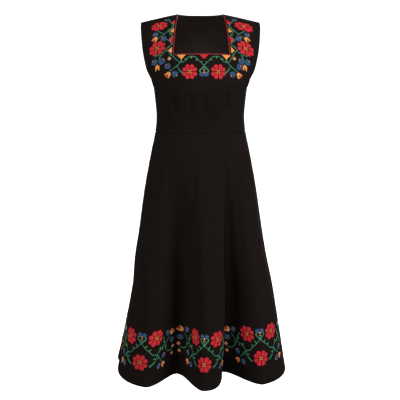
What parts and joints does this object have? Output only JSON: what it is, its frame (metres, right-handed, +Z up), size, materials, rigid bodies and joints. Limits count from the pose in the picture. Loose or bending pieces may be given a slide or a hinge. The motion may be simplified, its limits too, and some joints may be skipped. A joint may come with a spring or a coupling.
{
  "type": "folk pinafore dress",
  "caption": "Long sleeveless folk dress with a square piped neck, fitted princess-seamed bodice and flared gored skirt, hollow and filled out as worn.",
  "frame": {"origin": "middle of the neck opening, level with the neck ends of the shoulder seams, where the wearer's shoulders hold the dress", "axes": "+Z up along the wearer; the front of the dress faces -Y; +X towards the wearer's left"},
  "size_m": [0.5914, 0.4, 1.1942],
  "materials": {
    "dress_cloth": "matt black-brown wool-blend suiting with a soft sheen",
    "thread": "mercerised cotton, red on the piping and red, orange, green and blue in the cross stitch"
  },
  "bodies": {
    "root": {"bodice_front": "dress_cloth", "bodice_side_front_left": "dress_cloth", "bodice_side_front_right": "dress_cloth", "bodice_back": "dress_cloth", "neck_piping_left": "thread", "neck_piping_front": "thread", "neck_piping_right": "thread", "skirt_front": "dress_cloth", "skirt_side_front_left": "dress_cloth", "skirt_side_back_left": "dress_cloth", "skirt_back": "dress_cloth", "skirt_side_back_right": "dress_cloth", "skirt_side_front_right": "dress_cloth"}
  },
  "joints": []
}
